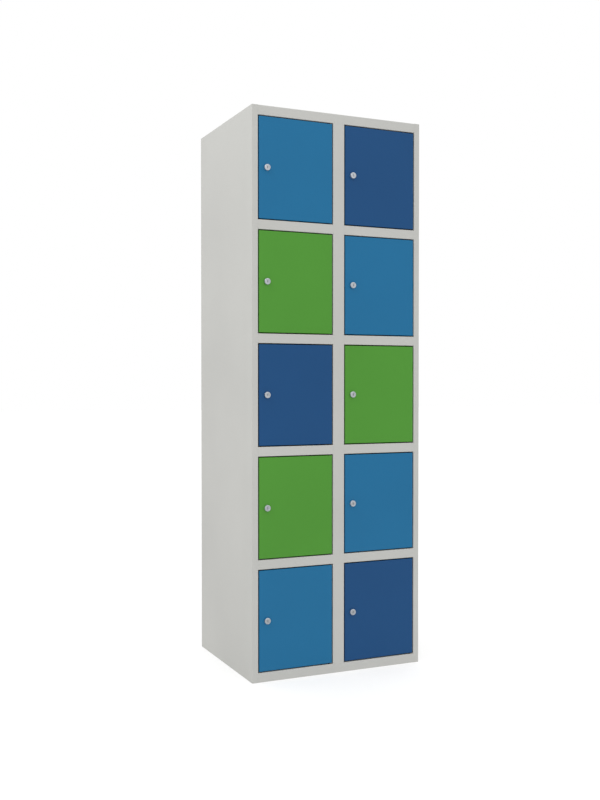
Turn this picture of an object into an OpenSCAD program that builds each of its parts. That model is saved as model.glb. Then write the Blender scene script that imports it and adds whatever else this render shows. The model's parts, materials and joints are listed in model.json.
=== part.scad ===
// Ten-compartment sheet-steel locker, two columns of five doors, each door with a coin-return lock.
// Millimetres. +Z is up and +Y runs from the doors to the back.
// The origin is on the floor, in the middle of the footprint of the cabinet and its lock heads.

/* [Cabinet] */
// Width over the two side panels
cabinet_w = 600; // [600:10:700]
// Depth from the front frame to the back
cabinet_d = 490; // [400:10:600]
// Height
cabinet_h = 1800; // [1650:10:1950]
// Thickness of every steel sheet
sheet = 0.8; // [0.6:0.1:1]
// Outer radius of a folded edge
bend_r = 1.6; // [1.4:0.1:2]

/* [Front frame] */
// Width of a side stile, and half the width of the centre stile
stile_w = 20; // [18:1:24]
// Height of every rail
rail_h = 30; // [28:1:40]
// Depth of the frame's returns, from the front face to the door stop
return_d = 18; // [18:1:20]
// Width of the door stop on the lock side
stop_w = 9; // [8:0.5:10]

/* [Doors] */
// Gap between a door and its opening, all round
door_gap = 3.5; // [3:0.5:4]
// Width of the lip folded in around the back of a door
door_lip = 8; // [6:1:9]
// Distance from the hinge edge of a door to its hinge axis
hinge_inset = 8; // [8:0.5:9]
// Distance from the face of a door to its hinge axis
hinge_set_back = 6; // [5.5:0.5:6.5]

/* [Coin lock] */
// Distance from the edge of the opening to the axis of the lock
lock_inset = 30; // [30:1:34]
// Diameter of the round lock nose
nose_d = 20; // [19:1:22]
// How far the lock nose stands out from the door
nose_out = 7; // [4:1:9]
// Diameter of the plug that the key turns
plug_d = 13; // [12:0.5:13]
// Diameter of the largest coin
coin_d = 26; // [23:0.5:26]
// Thickness of the thickest coin
coin_t = 2.4; // [2:0.1:2.6]

/* [Hidden] */
$fn = 48;
BEND_STEPS = 4;
ROWS = 5;
COLUMNS = ["left", "right"];
DOOR_COLOURS = [
    ["blue", "green", "navy", "green", "blue"],
    ["navy", "blue", "green", "blue", "navy"]
];

GREY = [0.78, 0.78, 0.76];
STEEL = [0.72, 0.73, 0.75];
BLACK_STEEL = [0.22, 0.22, 0.23];
ZINC = [0.80, 0.81, 0.82];
BRASS = [0.80, 0.66, 0.35];
RUBBER = [0.12, 0.12, 0.13];
function door_rgb(name) =
    name == "green" ? [0.33, 0.58, 0.24]
    : name == "navy" ? [0.17, 0.32, 0.49]
    : [0.17, 0.44, 0.61];

// Fits and small clearances
RUN = 0.06;     // radial clearance of a turning fit
SLIDE = 0.15;   // clearance round the sliding gate
SEAT = 0.05;    // clearance of a fixed fit
TINY = 0.01;    // how far a cutter passes a face

// Frame
wall_x = cabinet_w / 2;
front_y = -(cabinet_d - nose_out) / 2;
back_y = front_y + cabinet_d;
inner_back_y = back_y - 2 * sheet;
frame_sheet_y = front_y + sheet;
opening_w = cabinet_w / 2 - 2 * stile_w;
opening_h = (cabinet_h - (ROWS + 1) * rail_h) / ROWS;
edge_x = opening_w / 2;
rear_flange = 20;
tray_flange = 15;
tray_lip = 8;
base_web = 26;
clip = bend_r - sheet;

// Doors, in the frame of one opening: x from its middle, y from the front face, z from its sill
door_d = return_d - 2;
door_x = edge_x - door_gap;
door_z0 = door_gap;
door_z1 = opening_h - door_gap;
hinge_x = door_x - hinge_inset;
hinge_y = hinge_set_back;
pin_r = 3;
pin_in = 5;
pin_head_r = hinge_set_back - bend_r;
pin_head_h = 2;
pin_shoulder_r = 4.2;
stiffener_x = 45;
stiffener_w = 36;
stiffener_d = 11;
stiffener_foot = 10;
buffer_r = 3.5;
buffer_from_end = 40;

// Lock, in the frame of its own axis: x to the right, y from the door's face, z up
lock_x = -edge_x + lock_inset;
lock_z = opening_h / 2;
nose_r = nose_d / 2;
nose_edge = 1.4;
plug_r = plug_d / 2;
plug_recess = 0.4;
keyway = [1.6, 7, 18];
cam_y = return_d + sheet + 1.2;
cam_t = 2.5;
cam_hub_r = 9;
cam_l = lock_inset + stile_w / 2;
cam_w = 15;
tang = 8;
cam_washer_r = 6.5;
cam_washer_t = 1.2;
screw_r = 4.5;
screw_h = 2.4;

// Case of the lock
case_wall = 2;
case_x0 = -16;
case_x1 = 70;
case_z0 = -62;
case_z1 = 48;
case_d = return_d - 1;
case_corner = 5;
boss_y = 9;

// Gate that holds the coin while the door is locked. The plug's crank drives it.
crank_r = 11;
crank_w = 7;
crank_y = boss_y + 0.4;
crank_t = 2;
crank_pin_r = 1.5;
fork_w = 2 * crank_pin_r + 1;
prong_w = 3;
gate_y = crank_y + crank_t + 0.5;
gate_t = 2;
gate_travel = 2 * crank_r * sin(45);
fork_z = plug_r + 0.7;
bar_z0 = crank_r + crank_pin_r + 0.7;
bar_z1 = bar_z0 + 5;
gate_tip = 28.5;
guide_x0 = 14;
guide_x1 = 24;

// Coin chute and cup
chute_w = coin_d + 1.4;
chute_t = coin_t + 0.8;
chute_x0 = gate_tip + 0.8;
chute_x1 = chute_x0 + chute_w;
chute_y0 = gate_y + gate_t / 2 - chute_t / 2;
chute_y1 = chute_y0 + chute_t;
slot_rim = 3;
slot_rim_h = 2;
cup_x0 = 26;
cup_x1 = 60;
cup_z0 = -52;
cup_z1 = -24;
cup_y0 = 8;
cup_y1 = 36;
cup_sill = 5;
cup_corner = 4;
window_w = 9;
window_z0 = 22;
window_z1 = 42;

// Wall fixings
fix_r = 4.5;
fix_x = wall_x - 50;
fix_z0 = 90;
fix_z1 = cabinet_h - 50;

function per_door(part) = [for (c = COLUMNS, r = [1:ROWS]) str(part, "_", c, "_", r)];

// ---- Places ----

// Middle of a column: 0 is the left one
function column_x(c) = (c == 0 ? -1 : 1) * cabinet_w / 4;

// Underside of the rail over a row: row 1 is the top one, and 0 stands for the roof's own rail
function rail_z(r) = (ROWS - r) * (opening_h + rail_h);

// Sill of a row's openings
function sill_z(r) = rail_z(r) + rail_h;

// Into the frame of one opening
module at_opening(c, r) {
    translate([column_x(c), front_y, sill_z(r)]) children();
}

// Into the frame of one lock
module at_lock(c, r) {
    at_opening(c, r) translate([lock_x, 0, lock_z]) children();
}

module each_opening() {
    for (c = [0:1], r = [1:ROWS]) at_opening(c, r) children();
}

// ---- Folded sheet ----

function unit(v) = v / norm(v);
function left_of(v) = [-v[1], v[0]];
function turn(a, b) = sign(a[0] * b[1] - a[1] * b[0]);
function backwards(v) = [for (i = [len(v) - 1:-1:0]) v[i]];

// Points of one right-angled bend at p. Face 0 is the drawn one, and face 1 is a sheet to its left.
function bend(p, d1, d2, face) =
    let (
        s = turn(d1, d2),
        inner = bend_r - sheet,
        drawn_r = s > 0 ? bend_r : inner,
        centre = p - d1 * drawn_r + s * left_of(d1) * drawn_r,
        r = (face == 0) == (s > 0) ? bend_r : inner
    )
    [for (i = [0:BEND_STEPS])
        let (a = i * 90 / BEND_STEPS)
        centre + r * (d1 * sin(a) - s * left_of(d1) * cos(a))];

function face_points(path, face) =
    let (
        last = len(path) - 1,
        dirs = [for (i = [0:last - 1]) unit(path[i + 1] - path[i])],
        step = face * sheet
    )
    [
        path[0] + step * left_of(dirs[0]),
        for (i = [1:1:last - 1]) each bend(path[i], dirs[i - 1], dirs[i], face),
        path[last] + step * left_of(dirs[last - 1])
    ];

// Section of a folded sheet. The path is one face, and the sheet lies to its left.
module section(path) {
    polygon(concat(face_points(path, 0), backwards(face_points(path, 1))));
}

// Extrusions of a section drawn in XY, YZ or XZ
module along_z(z0, z1) {
    translate([0, 0, z0]) linear_extrude(z1 - z0) children();
}

module along_x(x0, x1) {
    translate([x0, 0, 0]) rotate([90, 0, 90]) linear_extrude(x1 - x0) children();
}

module along_y(y0, y1) {
    translate([0, y1, 0]) rotate([90, 0, 0]) linear_extrude(y1 - y0) children();
}

module block(lo, hi) {
    translate(lo) cube(hi - lo);
}

// A round bar along Y or Z
module rod_y(r, y0, y1) {
    translate([0, y0, 0]) rotate([-90, 0, 0]) cylinder(r = r, h = y1 - y0);
}

module rod_z(r, z0, z1) {
    translate([0, 0, z0]) cylinder(r = r, h = z1 - z0);
}

function quarter(centre, r, from) =
    [for (i = [0:BEND_STEPS])
        let (a = from + i * 90 / BEND_STEPS)
        centre + r * [cos(a), sin(a)]];

function round_rectangle(x0, x1, y0, y1, r) = concat(
    quarter([x0 + r, y0 + r], r, 180),
    quarter([x1 - r, y0 + r], r, 270),
    quarter([x1 - r, y1 - r], r, 0),
    quarter([x0 + r, y1 - r], r, 90)
);

// ---- Cabinet ----

// Side panel with its stile, as the left one. The stop stands on the lock side only.
module side_panel(has_stop) {
    stile_edge = [-wall_x + stile_w, front_y];
    flat_path = [
        [-wall_x + rear_flange, back_y],
        [-wall_x, back_y],
        [-wall_x, front_y],
        stile_edge
    ];
    return_end = stile_edge + [0, return_d + (has_stop ? 0 : sheet)];
    stop = has_stop ? [stile_edge + [stop_w, return_d]] : [];
    for (r = [0:ROWS]) along_z(rail_z(r), sill_z(r)) section(flat_path);
    for (r = [1:ROWS]) {
        along_z(sill_z(r), sill_z(r) + opening_h) section(concat(flat_path, [return_end], stop));
    }
}

module left_side_panel() {
    color(GREY) side_panel(true);
}

module right_side_panel() {
    color(GREY) mirror([1, 0, 0]) side_panel(false);
}

module centre_stile() {
    stop_y = front_y + return_d;
    flat_path = [[-stile_w, front_y], [stile_w, front_y]];
    full_path = [
        [-stile_w, stop_y + sheet],
        flat_path[0],
        flat_path[1],
        [stile_w, stop_y],
        [stile_w + stop_w, stop_y]
    ];
    top_edge = cabinet_h - rail_h;
    color(GREY) {
        for (r = [1:ROWS]) along_z(sill_z(r), sill_z(r) + opening_h) section(full_path);
        for (r = [1:ROWS - 1]) along_z(rail_z(r), sill_z(r)) section(flat_path);
        along_z(rail_h - bend_r, rail_h) section(flat_path);
        along_z(top_edge, top_edge + bend_r) section(flat_path);
    }
}

// Wall between the columns. Its front flange is welded behind the centre stile, and its rear
// flange stands in front of the back. Both are notched for the shelves of the right column.
module centre_partition() {
    face_x = -sheet / 2;
    path = [
        [tray_flange, inner_back_y],
        [face_x, inner_back_y],
        [face_x, frame_sheet_y],
        [stile_w - 2 * bend_r, frame_sheet_y]
    ];
    rail_end = front_y + return_d + SEAT;
    color(GREY) difference() {
        along_z(rail_h, cabinet_h - sheet) section(path);
        block([-stile_w, front_y, cabinet_h - rail_h], [stile_w, rail_end, cabinet_h]);
        for (r = [0:ROWS - 1], y = [[front_y, frame_sheet_y + bend_r],
                                    [inner_back_y - bend_r, inner_back_y]]) {
            block(
                [sheet / 2, y[0], sill_z(r) - tray_flange],
                [stile_w, y[1] + TINY, sill_z(r)]
            );
        }
    }
}

module back_panel() {
    color(GREY) difference() {
        block(
            [-wall_x + bend_r, inner_back_y, rail_h],
            [wall_x - bend_r, inner_back_y + sheet, cabinet_h - bend_r]
        );
        for (x = [-fix_x, fix_x], z = [fix_z0, fix_z1]) {
            translate([x, 0, z]) rod_y(fix_r, inner_back_y - 1, back_y);
        }
    }
}

// Shelf, roof or floor: a plate at top_z whose front edge is folded into a rail.
// span is the width of the rail, walls are the two walls, and rear_path starts the section.
module tray(span, walls, top_z, rear_path, plate_end, web) {
    path = concat(rear_path, [
        [front_y, top_z],
        [front_y, top_z - rail_h],
        [front_y + web, top_z - rail_h],
        [front_y + web, top_z - rail_h + tray_lip]
    ]);
    along_x(span[0], span[1]) section(path);
    tray_side(span[0], walls[0], top_z, plate_end);
    tray_side(span[1], walls[1], top_z, plate_end);
}

// Strip of the plate from the rail's end to the wall, and the flange that is welded to the wall.
// The strip's corners are clipped to clear the folds of the wall.
module tray_side(rail_end, wall, top_z, plate_end) {
    way = sign(rail_end - wall);
    flange_y = front_y + return_d + 2 * sheet;
    along_z(top_z - sheet, top_z) polygon([
        [rail_end, frame_sheet_y],
        [wall + way * 2 * clip, frame_sheet_y],
        [wall, frame_sheet_y + 2 * clip],
        [wall, plate_end - clip],
        [wall + way * clip, plate_end],
        [rail_end, plate_end]
    ]);
    block(
        [min(wall, wall + way * sheet), flange_y, top_z - tray_flange],
        [max(wall, wall + way * sheet), plate_end - clip, top_z]
    );
}

// Notch in the fold of the top or bottom rail, which the end of the centre stile fills
module stile_notch(z0, z1) {
    block([-stile_w, front_y - TINY, z0], [stile_w, front_y + bend_r, z1]);
}

// Hole for the lower pin of an opening, in the tray that makes its sill
module lower_pin_hole(c, r) {
    at_opening(c, r) translate([hinge_x, hinge_y, 0]) rod_z(pin_r + SEAT, -sheet - TINY, TINY);
}

// Hole for the upper pin of an opening, in the rail over it
module upper_pin_hole(c, r) {
    at_opening(c, r) translate([hinge_x, hinge_y, opening_h]) {
        rod_z(pin_r + SEAT, -TINY, sheet + TINY);
    }
}

module shelf(c, r) {
    walls = c == 0 ? [-wall_x + sheet, -sheet / 2] : [sheet / 2, wall_x - sheet];
    top_z = sill_z(r);
    rear = [[inner_back_y, top_z - tray_flange], [inner_back_y, top_z]];
    color(GREY) difference() {
        tray([column_x(c) - edge_x, column_x(c) + edge_x], walls, top_z, rear, inner_back_y, return_d);
        lower_pin_hole(c, r);
        upper_pin_hole(c, r + 1);
    }
}

module top_panel() {
    edge = wall_x - stile_w;
    wall = wall_x - sheet;
    rear = [[back_y, cabinet_h - rear_flange], [back_y, cabinet_h]];
    color(GREY) difference() {
        tray([-edge, edge], [-wall, wall], cabinet_h, rear, back_y - sheet, return_d);
        stile_notch(cabinet_h - rail_h - TINY, cabinet_h - rail_h + bend_r);
        for (c = [0:1]) upper_pin_hole(c, 1);
    }
}

module bottom_panel() {
    edge = wall_x - stile_w;
    wall = wall_x - sheet;
    rear = [[back_y - base_web, 0], [back_y, 0], [back_y, rail_h]];
    color(GREY) difference() {
        tray([-edge, edge], [-wall, wall], rail_h, rear, back_y - sheet, base_web);
        stile_notch(rail_h - bend_r, rail_h + TINY);
        for (c = [0:1]) lower_pin_hole(c, ROWS);
    }
}

module hinge_pins() {
    color(BLACK_STEEL) each_opening() translate([hinge_x, hinge_y, 0]) {
        rod_z(pin_r, -sheet - pin_head_h, door_z0 + pin_in);
        rod_z(pin_head_r, -sheet - pin_head_h, -sheet - SEAT);
        rod_z(pin_shoulder_r, SEAT, door_z0 - SEAT);
        rod_z(pin_r, door_z1 - pin_in, opening_h + sheet + pin_head_h);
        rod_z(pin_head_r, opening_h + sheet + SEAT, opening_h + sheet + pin_head_h);
    }
}

module door_buffers() {
    color(RUBBER) each_opening() {
        for (z = [buffer_from_end, opening_h - buffer_from_end]) {
            translate([-edge_x + stop_w - buffer_r - 0.2, 0, z]) rod_y(buffer_r, door_d + SEAT, return_d);
        }
    }
}

// ---- Doors, in the frame of one opening ----

// Block of the door's outline whose front edges are rounded, taken in by step on every side
module rounded_block(step, y1) {
    r = bend_r - step;
    x = door_x - step;
    z0 = door_z0 + step;
    z1 = door_z1 - step;
    intersection() {
        along_z(z0, z1) polygon(concat(
            [[x, y1], [-x, y1]],
            quarter([-x + r, step + r], r, 180),
            quarter([x - r, step + r], r, 270)
        ));
        along_x(-x, x) polygon(concat(
            [[y1, z1]],
            quarter([step + r, z1 - r], r, 90),
            quarter([step + r, z0 + r], r, 180),
            [[y1, z0]]
        ));
    }
}

module door_pan() {
    difference() {
        rounded_block(0, door_d);
        rounded_block(sheet, door_d - sheet);
        block(
            [-door_x + door_lip, door_d - 2 * sheet, door_z0 + door_lip],
            [door_x - door_lip, door_d + TINY, door_z1 - door_lip]
        );
    }
}

// Hat-shaped channel welded up the back of the skin
module stiffener() {
    x0 = stiffener_x - stiffener_w / 2;
    x1 = stiffener_x + stiffener_w / 2;
    path = [
        [x0 - stiffener_foot, sheet],
        [x0, sheet],
        [x0, sheet + stiffener_d],
        [x1, sheet + stiffener_d],
        [x1, sheet],
        [x1 + stiffener_foot, sheet]
    ];
    along_z(door_z0 + sheet, door_z1 - sheet) section(path);
}

module door_panel(c, r) {
    color(door_rgb(DOOR_COLOURS[c][r - 1])) at_opening(c, r) difference() {
        union() {
            door_pan();
            stiffener();
        }
        translate([lock_x, 0, lock_z]) rod_y(nose_r + SEAT, -TINY, sheet + TINY);
        translate([hinge_x, hinge_y, 0]) {
            rod_z(pin_r + RUN, door_z0 - TINY, door_z0 + sheet + TINY);
            rod_z(pin_r + RUN, door_z1 - sheet - TINY, door_z1 + TINY);
        }
    }
}

// ---- Coin lock, in the frame of the lock axis ----

module nose() {
    front = -nose_out;
    profile = concat(
        [[0, boss_y], [0, front]],
        quarter([nose_r - nose_edge, front + nose_edge], nose_edge, 270),
        [[nose_r, boss_y]]
    );
    rotate([-90, 0, 0]) rotate_extrude() polygon(profile);
}

module case_shell() {
    difference() {
        along_y(sheet, case_d) polygon(round_rectangle(
            case_x0, case_x1, case_z0, case_z1, case_corner
        ));
        along_y(sheet - TINY, case_d - case_wall) polygon(round_rectangle(
            case_x0 + case_wall, case_x1 - case_wall,
            case_z0 + case_wall, case_z1 - case_wall,
            case_corner - case_wall
        ));
    }
}

// Strip across the open front of the case, which carries the nose
module nose_web() {
    block(
        [-nose_r - case_wall, sheet, case_z0 + 1],
        [nose_r + case_wall, sheet + case_wall, case_z1 - 1]
    );
}

// Solid that the chute and its raised slot are cut from
module chute_housing() {
    block(
        [chute_x0 - case_wall, chute_y0 - case_wall, cup_z1],
        [chute_x1 + case_wall, case_d, case_z1 - 1]
    );
    block(
        [chute_x0 - slot_rim, chute_y0 - slot_rim, case_z1 - 1],
        [chute_x1 + slot_rim, case_d, case_z1 + slot_rim_h]
    );
}

module cup_housing() {
    along_y(cup_y0 - case_wall, cup_y1) polygon(round_rectangle(
        cup_x0 - case_wall, cup_x1 + case_wall,
        cup_z0 - case_wall, cup_z1 + case_wall,
        cup_corner
    ));
}

module cup_space() {
    r = cup_corner - case_wall;
    along_y(cup_y0, cup_y1 - case_wall) {
        polygon(round_rectangle(cup_x0, cup_x1, cup_z0, cup_z1, r));
    }
    along_y(cup_y1 - 2 * case_wall, cup_y1 + TINY) {
        polygon(round_rectangle(cup_x0, cup_x1, cup_z0 + cup_sill, cup_z1, r));
    }
}

// Space for the gate's bar, in the guide and in the wall of the chute
module gate_way() {
    block(
        [guide_x0 - TINY, gate_y - SLIDE, bar_z0 - SLIDE],
        [chute_x0 + TINY, gate_y + gate_t + SLIDE, bar_z1 + SLIDE]
    );
}

module lock_case(c, r) {
    window_x = (chute_x0 + chute_x1) / 2;
    window_r = window_w / 2;
    color(ZINC) at_lock(c, r) difference() {
        union() {
            case_shell();
            nose_web();
            nose();
            rod_y(cam_hub_r, case_d - case_wall, cam_y - 0.4);
            chute_housing();
            cup_housing();
            block(
                [guide_x0, gate_y - case_wall, bar_z0 - case_wall],
                [guide_x1, case_d - TINY, bar_z1 + case_wall]
            );
        }
        rod_y(plug_r + RUN, -nose_out - TINY, cam_y);
        gate_way();
        block([chute_x0, chute_y0, cup_z1 - 1], [chute_x1, chute_y1, case_z1 + slot_rim_h + TINY]);
        cup_space();
        along_y(chute_y0 + 1, case_d + TINY) polygon(round_rectangle(
            window_x - window_r, window_x + window_r, window_z0, window_z1, window_r - TINY
        ));
    }
}

// Cam arm, hanging down as it does when unlocked
module cam() {
    end = cam_w / 2;
    along_y(cam_y, cam_y + cam_t) difference() {
        union() {
            circle(r = cam_hub_r);
            translate([-end, -cam_l + end]) square([cam_w, cam_l - end]);
            translate([0, -cam_l + end]) circle(r = end);
        }
        square(tang + 2 * SEAT, center = true);
    }
}

// Arm on the plug whose pin stands in the gate's fork
module crank() {
    rotate([0, -45, 0]) {
        along_y(crank_y, crank_y + crank_t) {
            translate([-crank_w / 2, 0]) square([crank_w, crank_r]);
            translate([0, crank_r]) circle(r = crank_w / 2);
        }
        translate([0, 0, crank_r]) rod_y(crank_pin_r, crank_y, gate_y + gate_t + 0.4);
    }
}

module plug() {
    front = -nose_out + plug_recess;
    difference() {
        rod_y(plug_r, front, cam_y - SEAT);
        block(
            [-keyway[0] / 2, front - TINY, -keyway[1] / 2],
            [keyway[0] / 2, front + keyway[2], keyway[1] / 2]
        );
    }
    crank();
    block(
        [-tang / 2, cam_y - 1, -tang / 2],
        [tang / 2, cam_y + cam_t + SEAT, tang / 2]
    );
}

module cam_screw() {
    start = cam_y + cam_t + 2 * SEAT;
    rod_y(cam_washer_r, start, start + cam_washer_t);
    rod_y(screw_r, start, start + cam_washer_t + screw_h);
}

module lock_plug(c, r) {
    color(STEEL) at_lock(c, r) {
        plug();
        cam();
        cam_screw();
    }
}

// Sliding bar with a fork that straddles the crank's pin
module coin_gate(c, r) {
    fork_x = -crank_r * sin(45);
    outer = fork_w / 2 + prong_w;
    color(BRASS) at_lock(c, r) along_y(gate_y, gate_y + gate_t) difference() {
        union() {
            translate([fork_x - outer, bar_z0]) square([gate_tip - fork_x + outer, bar_z1 - bar_z0]);
            translate([fork_x - outer, fork_z]) square([2 * outer, bar_z0 - fork_z + 1]);
        }
        translate([fork_x - fork_w / 2, fork_z - 1]) square([fork_w, bar_z0 - fork_z + 1]);
    }
}

// ---- Parts ----

left_side_panel();
right_side_panel();
centre_partition();
centre_stile();
back_panel();
top_panel();
bottom_panel();
hinge_pins();
door_buffers();

for (c = [0:1], r = [1:ROWS - 1]) {
    shelf(c, r);
}

for (c = [0:1], r = [1:ROWS]) {
    name = str("_", COLUMNS[c], "_", r);
    door_panel(c, r);
    lock_case(c, r);
    lock_plug(c, r);
    coin_gate(c, r);
}
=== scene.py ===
import json
import math

import bmesh
import bpy
from mathutils import Euler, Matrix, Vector


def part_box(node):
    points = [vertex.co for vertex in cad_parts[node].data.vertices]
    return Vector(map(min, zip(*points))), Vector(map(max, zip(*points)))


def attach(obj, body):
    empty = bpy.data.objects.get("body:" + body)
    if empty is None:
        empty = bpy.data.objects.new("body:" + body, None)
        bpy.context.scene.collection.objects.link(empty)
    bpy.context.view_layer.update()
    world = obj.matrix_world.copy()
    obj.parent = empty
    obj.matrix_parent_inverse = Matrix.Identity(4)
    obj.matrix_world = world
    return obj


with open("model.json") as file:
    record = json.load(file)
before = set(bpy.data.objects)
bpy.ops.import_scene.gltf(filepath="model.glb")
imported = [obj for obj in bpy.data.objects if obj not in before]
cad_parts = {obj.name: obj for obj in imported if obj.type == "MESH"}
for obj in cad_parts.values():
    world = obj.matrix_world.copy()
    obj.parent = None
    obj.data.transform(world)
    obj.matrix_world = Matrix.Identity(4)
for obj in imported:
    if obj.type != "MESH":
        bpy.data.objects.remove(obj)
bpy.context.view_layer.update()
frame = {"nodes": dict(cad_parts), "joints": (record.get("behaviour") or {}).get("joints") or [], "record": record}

MM = 0.001
ROWS = range(1, 6)
COLUMNS = ("left", "right")
KEYS = [f"{column}_{row}" for column in COLUMNS for row in ROWS]

# ---- Places, from the frame ----

joints = {joint["name"]: joint for joint in frame["joints"]}
slots = {entry["node"]: entry["material_slot"] for entry in frame["record"]["subparts"]}
front_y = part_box("left_side_panel")[0].y
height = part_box("left_side_panel")[1].z


def lock_axis(key):
    """Where the axis of a door's lock meets the door's face."""
    return Vector(joints[f"plug_{key}_turn"]["pos_m"])


# ---- Camera ----

CAMERA_AT = Vector((-1.444, -3.1295, 0.937))
CAMERA_YAW = 24.35      # degrees from +Y towards +X
CAMERA_PITCH = -0.964   # degrees above the horizon
LENS = 45.0             # mm, on a 36 mm long side


def make_camera():
    data = bpy.data.cameras.new("camera")
    data.lens = LENS
    data.sensor_width = 36.0
    camera = bpy.data.objects.new("camera", data)
    camera.location = CAMERA_AT
    camera.rotation_euler = Euler((math.radians(90 + CAMERA_PITCH), 0, -math.radians(CAMERA_YAW)))
    bpy.context.scene.collection.objects.link(camera)
    bpy.context.scene.camera = camera


# ---- Materials ----

class Nodes:
    """A new material, with short calls that add its nodes. Patterns lie in object space, in metres."""

    def __init__(self, name):
        self.material = bpy.data.materials.new(name)
        self.material.use_nodes = True
        self.tree = self.material.node_tree
        self.shader = self.tree.nodes["Principled BSDF"]
        self.place = self.tree.nodes.new("ShaderNodeTexCoord").outputs["Object"]

    def link(self, output, socket):
        self.tree.links.new(output, socket)

    def stretched(self, scale):
        node = self.tree.nodes.new("ShaderNodeMapping")
        node.inputs["Scale"].default_value = scale
        self.link(self.place, node.inputs["Vector"])
        return node.outputs["Vector"]

    def noise(self, scale, detail=2.0, rough=0.5, vector=None):
        """Noise with that many cells to the metre."""
        node = self.tree.nodes.new("ShaderNodeTexNoise")
        node.inputs["Scale"].default_value = scale
        node.inputs["Detail"].default_value = detail
        node.inputs["Roughness"].default_value = rough
        self.link(vector or self.place, node.inputs["Vector"])
        return node.outputs["Fac"]

    def ramp(self, factor, low, high, start=0.3, end=0.7):
        """Maps a factor from start..end to low..high."""
        node = self.tree.nodes.new("ShaderNodeMapRange")
        for name, value in (("From Min", start), ("From Max", end), ("To Min", low), ("To Max", high)):
            node.inputs[name].default_value = value
        self.link(factor, node.inputs["Value"])
        return node.outputs["Result"]

    def math(self, operation, a, b):
        node = self.tree.nodes.new("ShaderNodeMath")
        node.operation = operation
        for socket, value in zip(node.inputs, (a, b)):
            if isinstance(value, float):
                socket.default_value = value
            else:
                self.link(value, socket)
        return node.outputs["Value"]

    def mix(self, factor, low, high):
        """Mixes two colours, each a triple or an output."""
        node = self.tree.nodes.new("ShaderNodeMix")
        node.data_type = "RGBA"
        self.link(factor, node.inputs["Factor"])
        for socket, value in ((node.inputs[6], low), (node.inputs[7], high)):
            if isinstance(value, tuple):
                socket.default_value = (*value, 1.0)
            else:
                self.link(value, socket)
        return node.outputs[2]

    def edges(self, radius):
        """1 on a sharp edge of the mesh and 0 away from it, with the rounded normal."""
        bevel = self.tree.nodes.new("ShaderNodeBevel")
        bevel.samples = 4
        bevel.inputs["Radius"].default_value = radius
        geometry = self.tree.nodes.new("ShaderNodeNewGeometry")
        dot = self.tree.nodes.new("ShaderNodeVectorMath")
        dot.operation = "DOT_PRODUCT"
        self.link(bevel.outputs["Normal"], dot.inputs[0])
        self.link(geometry.outputs["Normal"], dot.inputs[1])
        return self.ramp(dot.outputs["Value"], 1.0, 0.0, 0.8, 0.99), bevel.outputs["Normal"]

    def bump(self, heights, normal=None):
        """Adds bumps one over the other. Each is a height from 0 to 1 and its depth in metres."""
        for factor, depth in heights:
            node = self.tree.nodes.new("ShaderNodeBump")
            node.inputs["Distance"].default_value = depth
            self.link(factor, node.inputs["Height"])
            if normal is not None:
                self.link(normal, node.inputs["Normal"])
            normal = node.outputs["Normal"]
        self.link(normal, self.shader.inputs["Normal"])

    def set(self, **values):
        for name, value in values.items():
            socket = self.shader.inputs[name.replace("_", " ")]
            if isinstance(value, bpy.types.NodeSocket):
                self.link(value, socket)
            elif isinstance(value, tuple):
                socket.default_value = (*value, 1.0)
            else:
                socket.default_value = value


def shade(colour, factor):
    return tuple(channel * factor for channel in colour)


def powder_coat(name, colour):
    """Satin powder coat on sheet steel: orange peel, faint flow marks, thinner paint on the edges, and a painted
    highlight along the edges.
    """
    n = Nodes(name)
    cloudy = n.noise(2.6, 3.0)
    grain = n.noise(1400.0, 1.0)
    peel = n.noise(420.0, 2.0, 0.45)
    edge, rounded = n.edges(0.0011)
    body = n.mix(n.ramp(cloudy, 0.0, 1.0), shade(colour, 0.965), shade(colour, 1.03))
    speckled = n.mix(n.ramp(grain, 0.0, 0.35, 0.55, 0.8), body, shade(colour, 1.09))
    # Sharp edges are painted lighter in noisy patches: partly edge wear, partly a painted highlight.
    wear_and_highlight = n.math("MULTIPLY", edge, n.ramp(n.noise(55.0, 3.0), 0.05, 0.5))
    worn_and_highlighted = n.mix(wear_and_highlight, speckled, shade(colour, 1.22))
    n.set(
        Base_Color=worn_and_highlighted,
        Roughness=n.math("ADD", n.ramp(cloudy, 0.40, 0.47), n.ramp(grain, -0.03, 0.05)),
        Specular_IOR_Level=0.24,
    )
    n.bump([(cloudy, 0.0004), (peel, 0.00025), (grain, 0.00003)], rounded)
    return n.material


def plated(name, colour, roughness):
    """Satin plated metal: fine level scratches, dull patches and a painted highlight on sharp edges."""
    n = Nodes(name)
    n.shader.inputs["Metallic"].default_value = 1.0
    scratches = n.noise(1.0, 3.0, 0.6, n.stretched((260.0, 260.0, 2600.0)))
    patches = n.noise(120.0, 3.0)
    edge, rounded = n.edges(0.0004)
    body = n.mix(n.ramp(patches, 0.0, 1.0), shade(colour, 0.90), shade(colour, 1.04))
    dull = n.ramp(patches, roughness - 0.05, roughness + 0.05)
    n.set(
        # Sharp edges are painted lighter: a painted highlight.
        Base_Color=n.mix(edge, body, shade(colour, 1.15)),
        Roughness=n.math("ADD", dull, n.ramp(scratches, -0.06, 0.08)),
    )
    n.bump([(scratches, 0.00002), (patches, 0.00002)], rounded)
    return n.material


def moulded_rubber(name, colour):
    """Matt rubber: fine grain and a little dust."""
    n = Nodes(name)
    grain = n.noise(1600.0, 2.0)
    dust = n.noise(160.0, 4.0)
    n.set(
        Base_Color=n.mix(n.ramp(dust, 0.0, 0.6, 0.45, 0.8), colour, shade(colour, 2.2)),
        Roughness=n.ramp(grain, 0.70, 0.88),
        Specular_IOR_Level=0.3,
    )
    n.bump([(grain, 0.00004), (dust, 0.00005)], n.edges(0.0006)[1])
    return n.material


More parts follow.
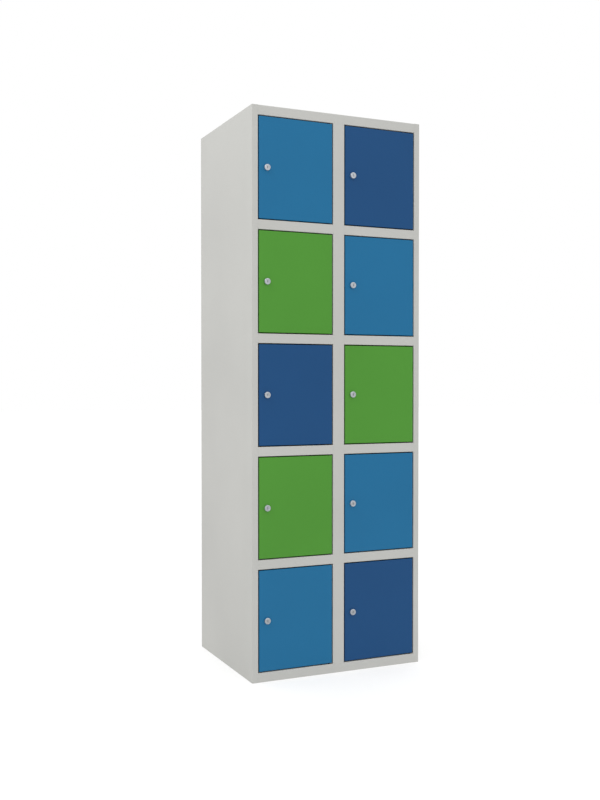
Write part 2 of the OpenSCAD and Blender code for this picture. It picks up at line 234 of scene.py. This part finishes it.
MATERIALS = {
    "grey_paint": powder_coat("grey_paint", (0.500, 0.500, 0.477)),
    "blue_paint": powder_coat("blue_paint", (0.008, 0.140, 0.300)),
    "green_paint": powder_coat("green_paint", (0.071, 0.274, 0.029)),
    "navy_paint": powder_coat("navy_paint", (0.006, 0.064, 0.188)),
    "zinc": plated("zinc", (0.63, 0.665, 0.71), 0.36),
    "steel": plated("steel", (0.61, 0.64, 0.68), 0.33),
    "black_steel": plated("black_steel", (0.045, 0.045, 0.05), 0.38),
    "brass": plated("brass", (0.68, 0.50, 0.21), 0.34),
    "rubber": moulded_rubber("rubber", (0.012, 0.012, 0.013)),
}


def paint(piece, slot):
    """Gives a CAD node the material of its slot."""
    piece.data.materials.clear()
    piece.data.materials.append(MATERIALS[slot])


# ---- Meshes ----

def add_piece(name, mesh, slot, body, place=(0, 0, 0), turn=(0, 0, 0)):
    """New object with a slot's material, which rides on a body."""
    piece = bpy.data.objects.new(name, mesh)
    piece.location = place
    piece.rotation_euler = turn
    bpy.context.scene.collection.objects.link(piece)
    if not mesh.materials:
        mesh.materials.append(MATERIALS[slot])
    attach(piece, body)


def arc_points(centre, radius, start, end, steps):
    """Points on an arc, with its angles in degrees."""
    return [
        (
            centre[0] + radius * math.cos(math.radians(start + (end - start) * i / steps)),
            centre[1] + radius * math.sin(math.radians(start + (end - start) * i / steps)),
        )
        for i in range(steps + 1)
    ]


def circle_points(radius, steps):
    """Points once round a circle about the origin."""
    return arc_points((0, 0), radius, 0, 360 - 360 / steps, steps - 1)


def round_rectangle(x0, x1, z0, z1, radius, steps=6):
    return (
        arc_points((x0 + radius, z0 + radius), radius, 180, 270, steps)
        + arc_points((x1 - radius, z0 + radius), radius, 270, 360, steps)
        + arc_points((x1 - radius, z1 - radius), radius, 0, 90, steps)
        + arc_points((x0 + radius, z1 - radius), radius, 90, 180, steps)
    )


def plate_mesh(name, outline, holes, thickness, rounding):
    """Flat plate with holes, drawn in X and Z, from y = 0 back to its thickness, with rounded edges."""
    curve = bpy.data.curves.new(name, "CURVE")
    curve.dimensions = "2D"
    curve.fill_mode = "BOTH"
    curve.extrude = thickness / 2 - rounding
    curve.bevel_depth = rounding
    curve.bevel_resolution = 2
    curve.offset = -rounding
    for loop in [outline, *holes]:
        spline = curve.splines.new("POLY")
        spline.points.add(len(loop) - 1)
        for point, (x, z) in zip(spline.points, loop):
            point.co = (x, z, 0, 1)
        spline.use_cyclic_u = True
    holder = bpy.data.objects.new(name, curve)
    bpy.context.scene.collection.objects.link(holder)
    bpy.context.view_layer.update()
    mesh = bpy.data.meshes.new_from_object(holder.evaluated_get(bpy.context.evaluated_depsgraph_get()))
    bpy.data.objects.remove(holder)
    for vertex in mesh.vertices:
        x, z, depth = vertex.co
        vertex.co = (x, thickness / 2 - depth, z)
    mesh.name = name
    return mesh


def ring_mesh(name, rings):
    """Smooth skin over rings of points, which all have the same count. Both ends are closed flat."""
    mesh = bpy.data.meshes.new(name)
    shape = bmesh.new()
    made = [[shape.verts.new(point) for point in ring] for ring in rings]
    count = len(rings[0])
    for low, high in zip(made, made[1:]):
        for i in range(count):
            j = (i + 1) % count
            shape.faces.new((low[i], low[j], high[j], high[i]))
    shape.faces.new(made[-1])
    shape.faces.new(list(reversed(made[0])))
    bmesh.ops.recalc_face_normals(shape, faces=shape.faces)
    for face in shape.faces:
        face.smooth = len(face.verts) == 4
    shape.to_mesh(mesh)
    shape.free()
    return mesh


def screw_mesh():
    """Button head of a screw, facing +Y, with a hexagon socket."""
    head_r, head_h = 2.9 * MM, 1.7 * MM
    socket_r, socket_d = 1.25 * MM, 1.1 * MM
    collar, socket_cone = 0.3 * MM, 0.3 * MM
    steps = 36

    def ring(radius, y, hexagon=0.0):
        points = []
        for i in range(steps):
            angle = 2 * math.pi * i / steps
            flat = math.cos(math.pi / 6) / math.cos((angle % (math.pi / 3)) - math.pi / 6)
            r = radius * (1 + (flat - 1) * hexagon)
            points.append((r * math.cos(angle), y, r * math.sin(angle)))
        return points

    dome = [
        ring(head_r * math.cos(math.radians(a)) ** 0.6, head_h * math.sin(math.radians(a)))
        for a in (18, 36, 50, 62)
    ]
    rings = [ring(head_r, 0), ring(head_r, collar), *dome]
    rings += [ring(socket_r * 1.12, head_h * 0.99, 1.0), ring(socket_r, head_h * 0.93, 1.0)]
    socket_floor = head_h - socket_d
    rings += [ring(socket_r, socket_floor, 1.0), ring(socket_r * 0.4, socket_floor - socket_cone)]
    return ring_mesh("cover_screw", rings)


def repeated_mesh(name, mesh, places):
    """One mesh that holds a copy of another at every place."""
    shape = bmesh.new()
    for place in places:
        first = len(shape.verts)
        shape.from_mesh(mesh)
        shape.verts.ensure_lookup_table()
        bmesh.ops.translate(shape, vec=place, verts=shape.verts[first:])
    repeated = bpy.data.meshes.new(name)
    shape.to_mesh(repeated)
    shape.free()
    return repeated


# ---- Weld marks on the back ----

# Radius and height in mm of each ring of a mark, from its rim over the lip to its shallow middle
MARK_RINGS = (
    (3.8, -0.10), (3.8, 0.0), (3.3, 0.14), (2.9, 0.20),
    (2.5, 0.15), (1.9, 0.05), (1.0, 0.02), (0.3, 0.02),
)
MARK_STEPS = 24
MARK_PITCH = 68 * MM        # about this far from one mark to the next
MARK_END = 30 * MM          # from the end of a welded flange to its nearest mark
FLANGE_MIDDLE = 8 * MM      # from the fold of a welded flange to its middle


def spread(low, high):
    """Evenly spaced places between two ends, about a pitch apart."""
    span = high - low - 2 * MARK_END
    gaps = round(span / MARK_PITCH)
    return [low + MARK_END + span * i / gaps for i in range(gaps + 1)]


def make_weld_marks():
    """Rows of shallow rings where the shelves' and the partition's flanges are welded to the back."""
    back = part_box("back_panel")[1].y
    shelves = {
        (column, row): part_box(f"shelf_{column}_{row}")
        for column in COLUMNS
        for row in ROWS[:-1]
    }
    places = [
        (x, back, high.z - FLANGE_MIDDLE)
        for low, high in shelves.values()
        for x in spread(low.x, high.x)
    ]
    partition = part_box("centre_partition")
    levels = [partition[0].z, *sorted(shelves["left", row][1].z for row in ROWS[:-1]), partition[1].z]
    for low, high in zip(levels, levels[1:]):
        places += [(partition[0].x + FLANGE_MIDDLE, back, z) for z in spread(low, high - FLANGE_MIDDLE)]
    rings = []
    for radius, rise in MARK_RINGS:
        rings.append([(x, rise * MM, z) for x, z in circle_points(radius * MM, MARK_STEPS)])
    marks = repeated_mesh("weld_marks", ring_mesh("weld_mark", rings), places)
    add_piece("weld_marks", marks, "grey_paint", "cabinet")


# ---- Lock cases ----

CASE_DEPTH = 17 * MM        # from the door's face to the back of the case
SLOT_RIM = 2 * MM           # how far the coin slot's rim stands over the top of the case
COVER_T = 1.0 * MM
COVER_INSET = 1.5 * MM      # from the edge of the case's back to the edge of its cover
COVER_CORNER = 4 * MM
COVER_ROUNDING = 0.25 * MM
HOLE_ROUNDING = 4.6 * MM
SCREW_INSET = 5.0 * MM
SCREW_SINK = 0.05 * MM      # how far a screw's head is pressed into the cover
SCREW_TURN = 0.4            # radians from one screw's socket to the next one's

# Holes in the cover, from the axis of the lock: the cam's hub, then x and z limits
HUB_HOLE_R = 10.2 * MM
HUB_STEPS = 36
CUP_HOLE = (23.4 * MM, 62.6 * MM, -54.6 * MM, -21.4 * MM)
WINDOW_HOLE = (37.6 * MM, 48.4 * MM, 21 * MM, 43 * MM)
WINDOW_ROUNDING = 5.3 * MM


def case_corners(key, inset):
    """Lowest and highest x and z of the flat back of a lock case, taken in on every side."""
    low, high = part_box(f"lock_case_{key}")
    return low.x + inset, high.x - inset, low.z + inset, high.z - SLOT_RIM - inset


def lock_cover_mesh(key):
    """Cover on the back of a lock case, with holes for the cam's hub, the window and the coin cup."""
    axis = lock_axis(key)
    x0, x1, z0, z1 = case_corners(key, COVER_INSET)
    outline = round_rectangle(x0 - axis.x, x1 - axis.x, z0 - axis.z, z1 - axis.z, COVER_CORNER)
    hub = circle_points(HUB_HOLE_R, HUB_STEPS)
    cup = round_rectangle(*CUP_HOLE, HOLE_ROUNDING)
    window = round_rectangle(*WINDOW_HOLE, WINDOW_ROUNDING)
    return plate_mesh("lock_cover", outline, [hub, cup, window], COVER_T, COVER_ROUNDING)


def make_lock_details():
    cover = lock_cover_mesh(KEYS[0])
    screw = screw_mesh()
    for key in KEYS:
        axis = lock_axis(key)
        back = Vector((axis.x, front_y + CASE_DEPTH, axis.z))
        add_piece(f"lock_cover_{key}", cover, "zinc", f"door_{key}", back)
        x0, x1, z0, z1 = case_corners(key, SCREW_INSET)
        places = [(x, z) for x in (x0, x1) for z in (z0, z1)]
        for i, (x, z) in enumerate(places, 1):
            place = (x, back.y + COVER_T - SCREW_SINK, z)
            turn = (0, SCREW_TURN * i, 0)
            add_piece(f"cover_screw_{key}_{i}", screw, "steel", f"door_{key}", place, turn)


# ---- Stage ----

FLOOR_HALF = 30.0           # metres
FLOOR_DROP = 0.2 * MM       # keeps the floor clear of the cabinet's underside
FLOOR_GLOW = 0.5
SIDE_LIGHT = 0.60           # strength of the light from the horizon
TOP_LIGHT = 1.46            # strength of the light from straight above
RIGHT_LIGHT = 0.04          # how much more light comes from +X than from the middle
KEY_AT = (-2.2, -0.6, 3.4)
KEY_SIZE = 1.2              # metres
KEY_POWER = 20              # watts


def floor_paint(name):
    """Pale studio floor. Its glow keeps the contact shadow light, and isn't seen in reflections."""
    n = Nodes(name)
    cloudy = n.noise(1.5, 4.0)
    reflected = n.tree.nodes.new("ShaderNodeLightPath").outputs["Is Glossy Ray"]
    n.set(
        Base_Color=n.mix(n.ramp(cloudy, 0.0, 1.0), (0.49, 0.49, 0.49), (0.51, 0.51, 0.51)),
        Emission_Color=(1.0, 1.0, 1.0),
        Emission_Strength=n.ramp(reflected, FLOOR_GLOW, 0.0, 0.0, 1.0),
        Roughness=n.ramp(cloudy, 0.75, 0.85),
        Specular_IOR_Level=0.2,
    )
    n.bump([(n.noise(300.0), 0.0001)])
    return n.material


def make_floor():
    mesh = bpy.data.meshes.new("floor")
    half = FLOOR_HALF
    corners = [(-half, -half, 0), (half, -half, 0), (half, half, 0), (-half, half, 0)]
    mesh.from_pydata(corners, [], [(0, 1, 2, 3)])
    mesh.materials.append(floor_paint("floor"))
    floor = bpy.data.objects.new("floor", mesh)
    floor.location.z = -FLOOR_DROP
    bpy.context.scene.collection.objects.link(floor)


def make_world():
    """Plain white to the camera. The light it casts is stronger from above, and a little from +X."""
    world = bpy.data.worlds.new("studio")
    world.use_nodes = True
    tree = world.node_tree
    white = tree.nodes["Background"]
    white.inputs["Color"].default_value = (1, 1, 1, 1)
    cast = tree.nodes.new("ShaderNodeBackground")
    cast.inputs["Color"].default_value = (1, 1, 1, 1)
    direction = tree.nodes.new("ShaderNodeSeparateXYZ")
    place = tree.nodes.new("ShaderNodeTexCoord").outputs["Generated"]
    tree.links.new(place, direction.inputs["Vector"])
    strength = tree.nodes.new("ShaderNodeMapRange")
    strength.inputs["To Min"].default_value = SIDE_LIGHT
    strength.inputs["To Max"].default_value = TOP_LIGHT
    tree.links.new(direction.outputs["Z"], strength.inputs["Value"])
    tilted = tree.nodes.new("ShaderNodeMath")
    tilted.operation = "MULTIPLY_ADD"
    tilted.inputs[1].default_value = RIGHT_LIGHT
    tree.links.new(direction.outputs["X"], tilted.inputs[0])
    tree.links.new(strength.outputs["Result"], tilted.inputs[2])
    tree.links.new(tilted.outputs["Value"], cast.inputs["Strength"])
    seen = tree.nodes.new("ShaderNodeMixShader")
    tree.links.new(tree.nodes.new("ShaderNodeLightPath").outputs["Is Camera Ray"], seen.inputs["Fac"])
    tree.links.new(cast.outputs["Background"], seen.inputs[1])
    tree.links.new(white.outputs["Background"], seen.inputs[2])
    tree.links.new(seen.outputs["Shader"], tree.nodes["World Output"].inputs["Surface"])
    bpy.context.scene.world = world


def make_light(name, place, size, power):
    data = bpy.data.lights.new(name, "AREA")
    data.shape = "SQUARE"
    data.size = size
    data.energy = power
    light = bpy.data.objects.new(name, data)
    light.location = place
    target = Vector((0, 0, height / 2))
    light.rotation_euler = (target - Vector(place)).to_track_quat("-Z", "Y").to_euler()
    bpy.context.scene.collection.objects.link(light)


def make_studio():
    make_floor()
    make_world()
    make_light("key", KEY_AT, KEY_SIZE, KEY_POWER)
    scene = bpy.context.scene
    scene.view_settings.view_transform = "Standard"
    scene.view_settings.look = "None"


# ---- Everything ----

make_camera()
for node, piece in frame["nodes"].items():
    paint(piece, slots[node])
make_lock_details()
make_weld_marks()
make_studio()
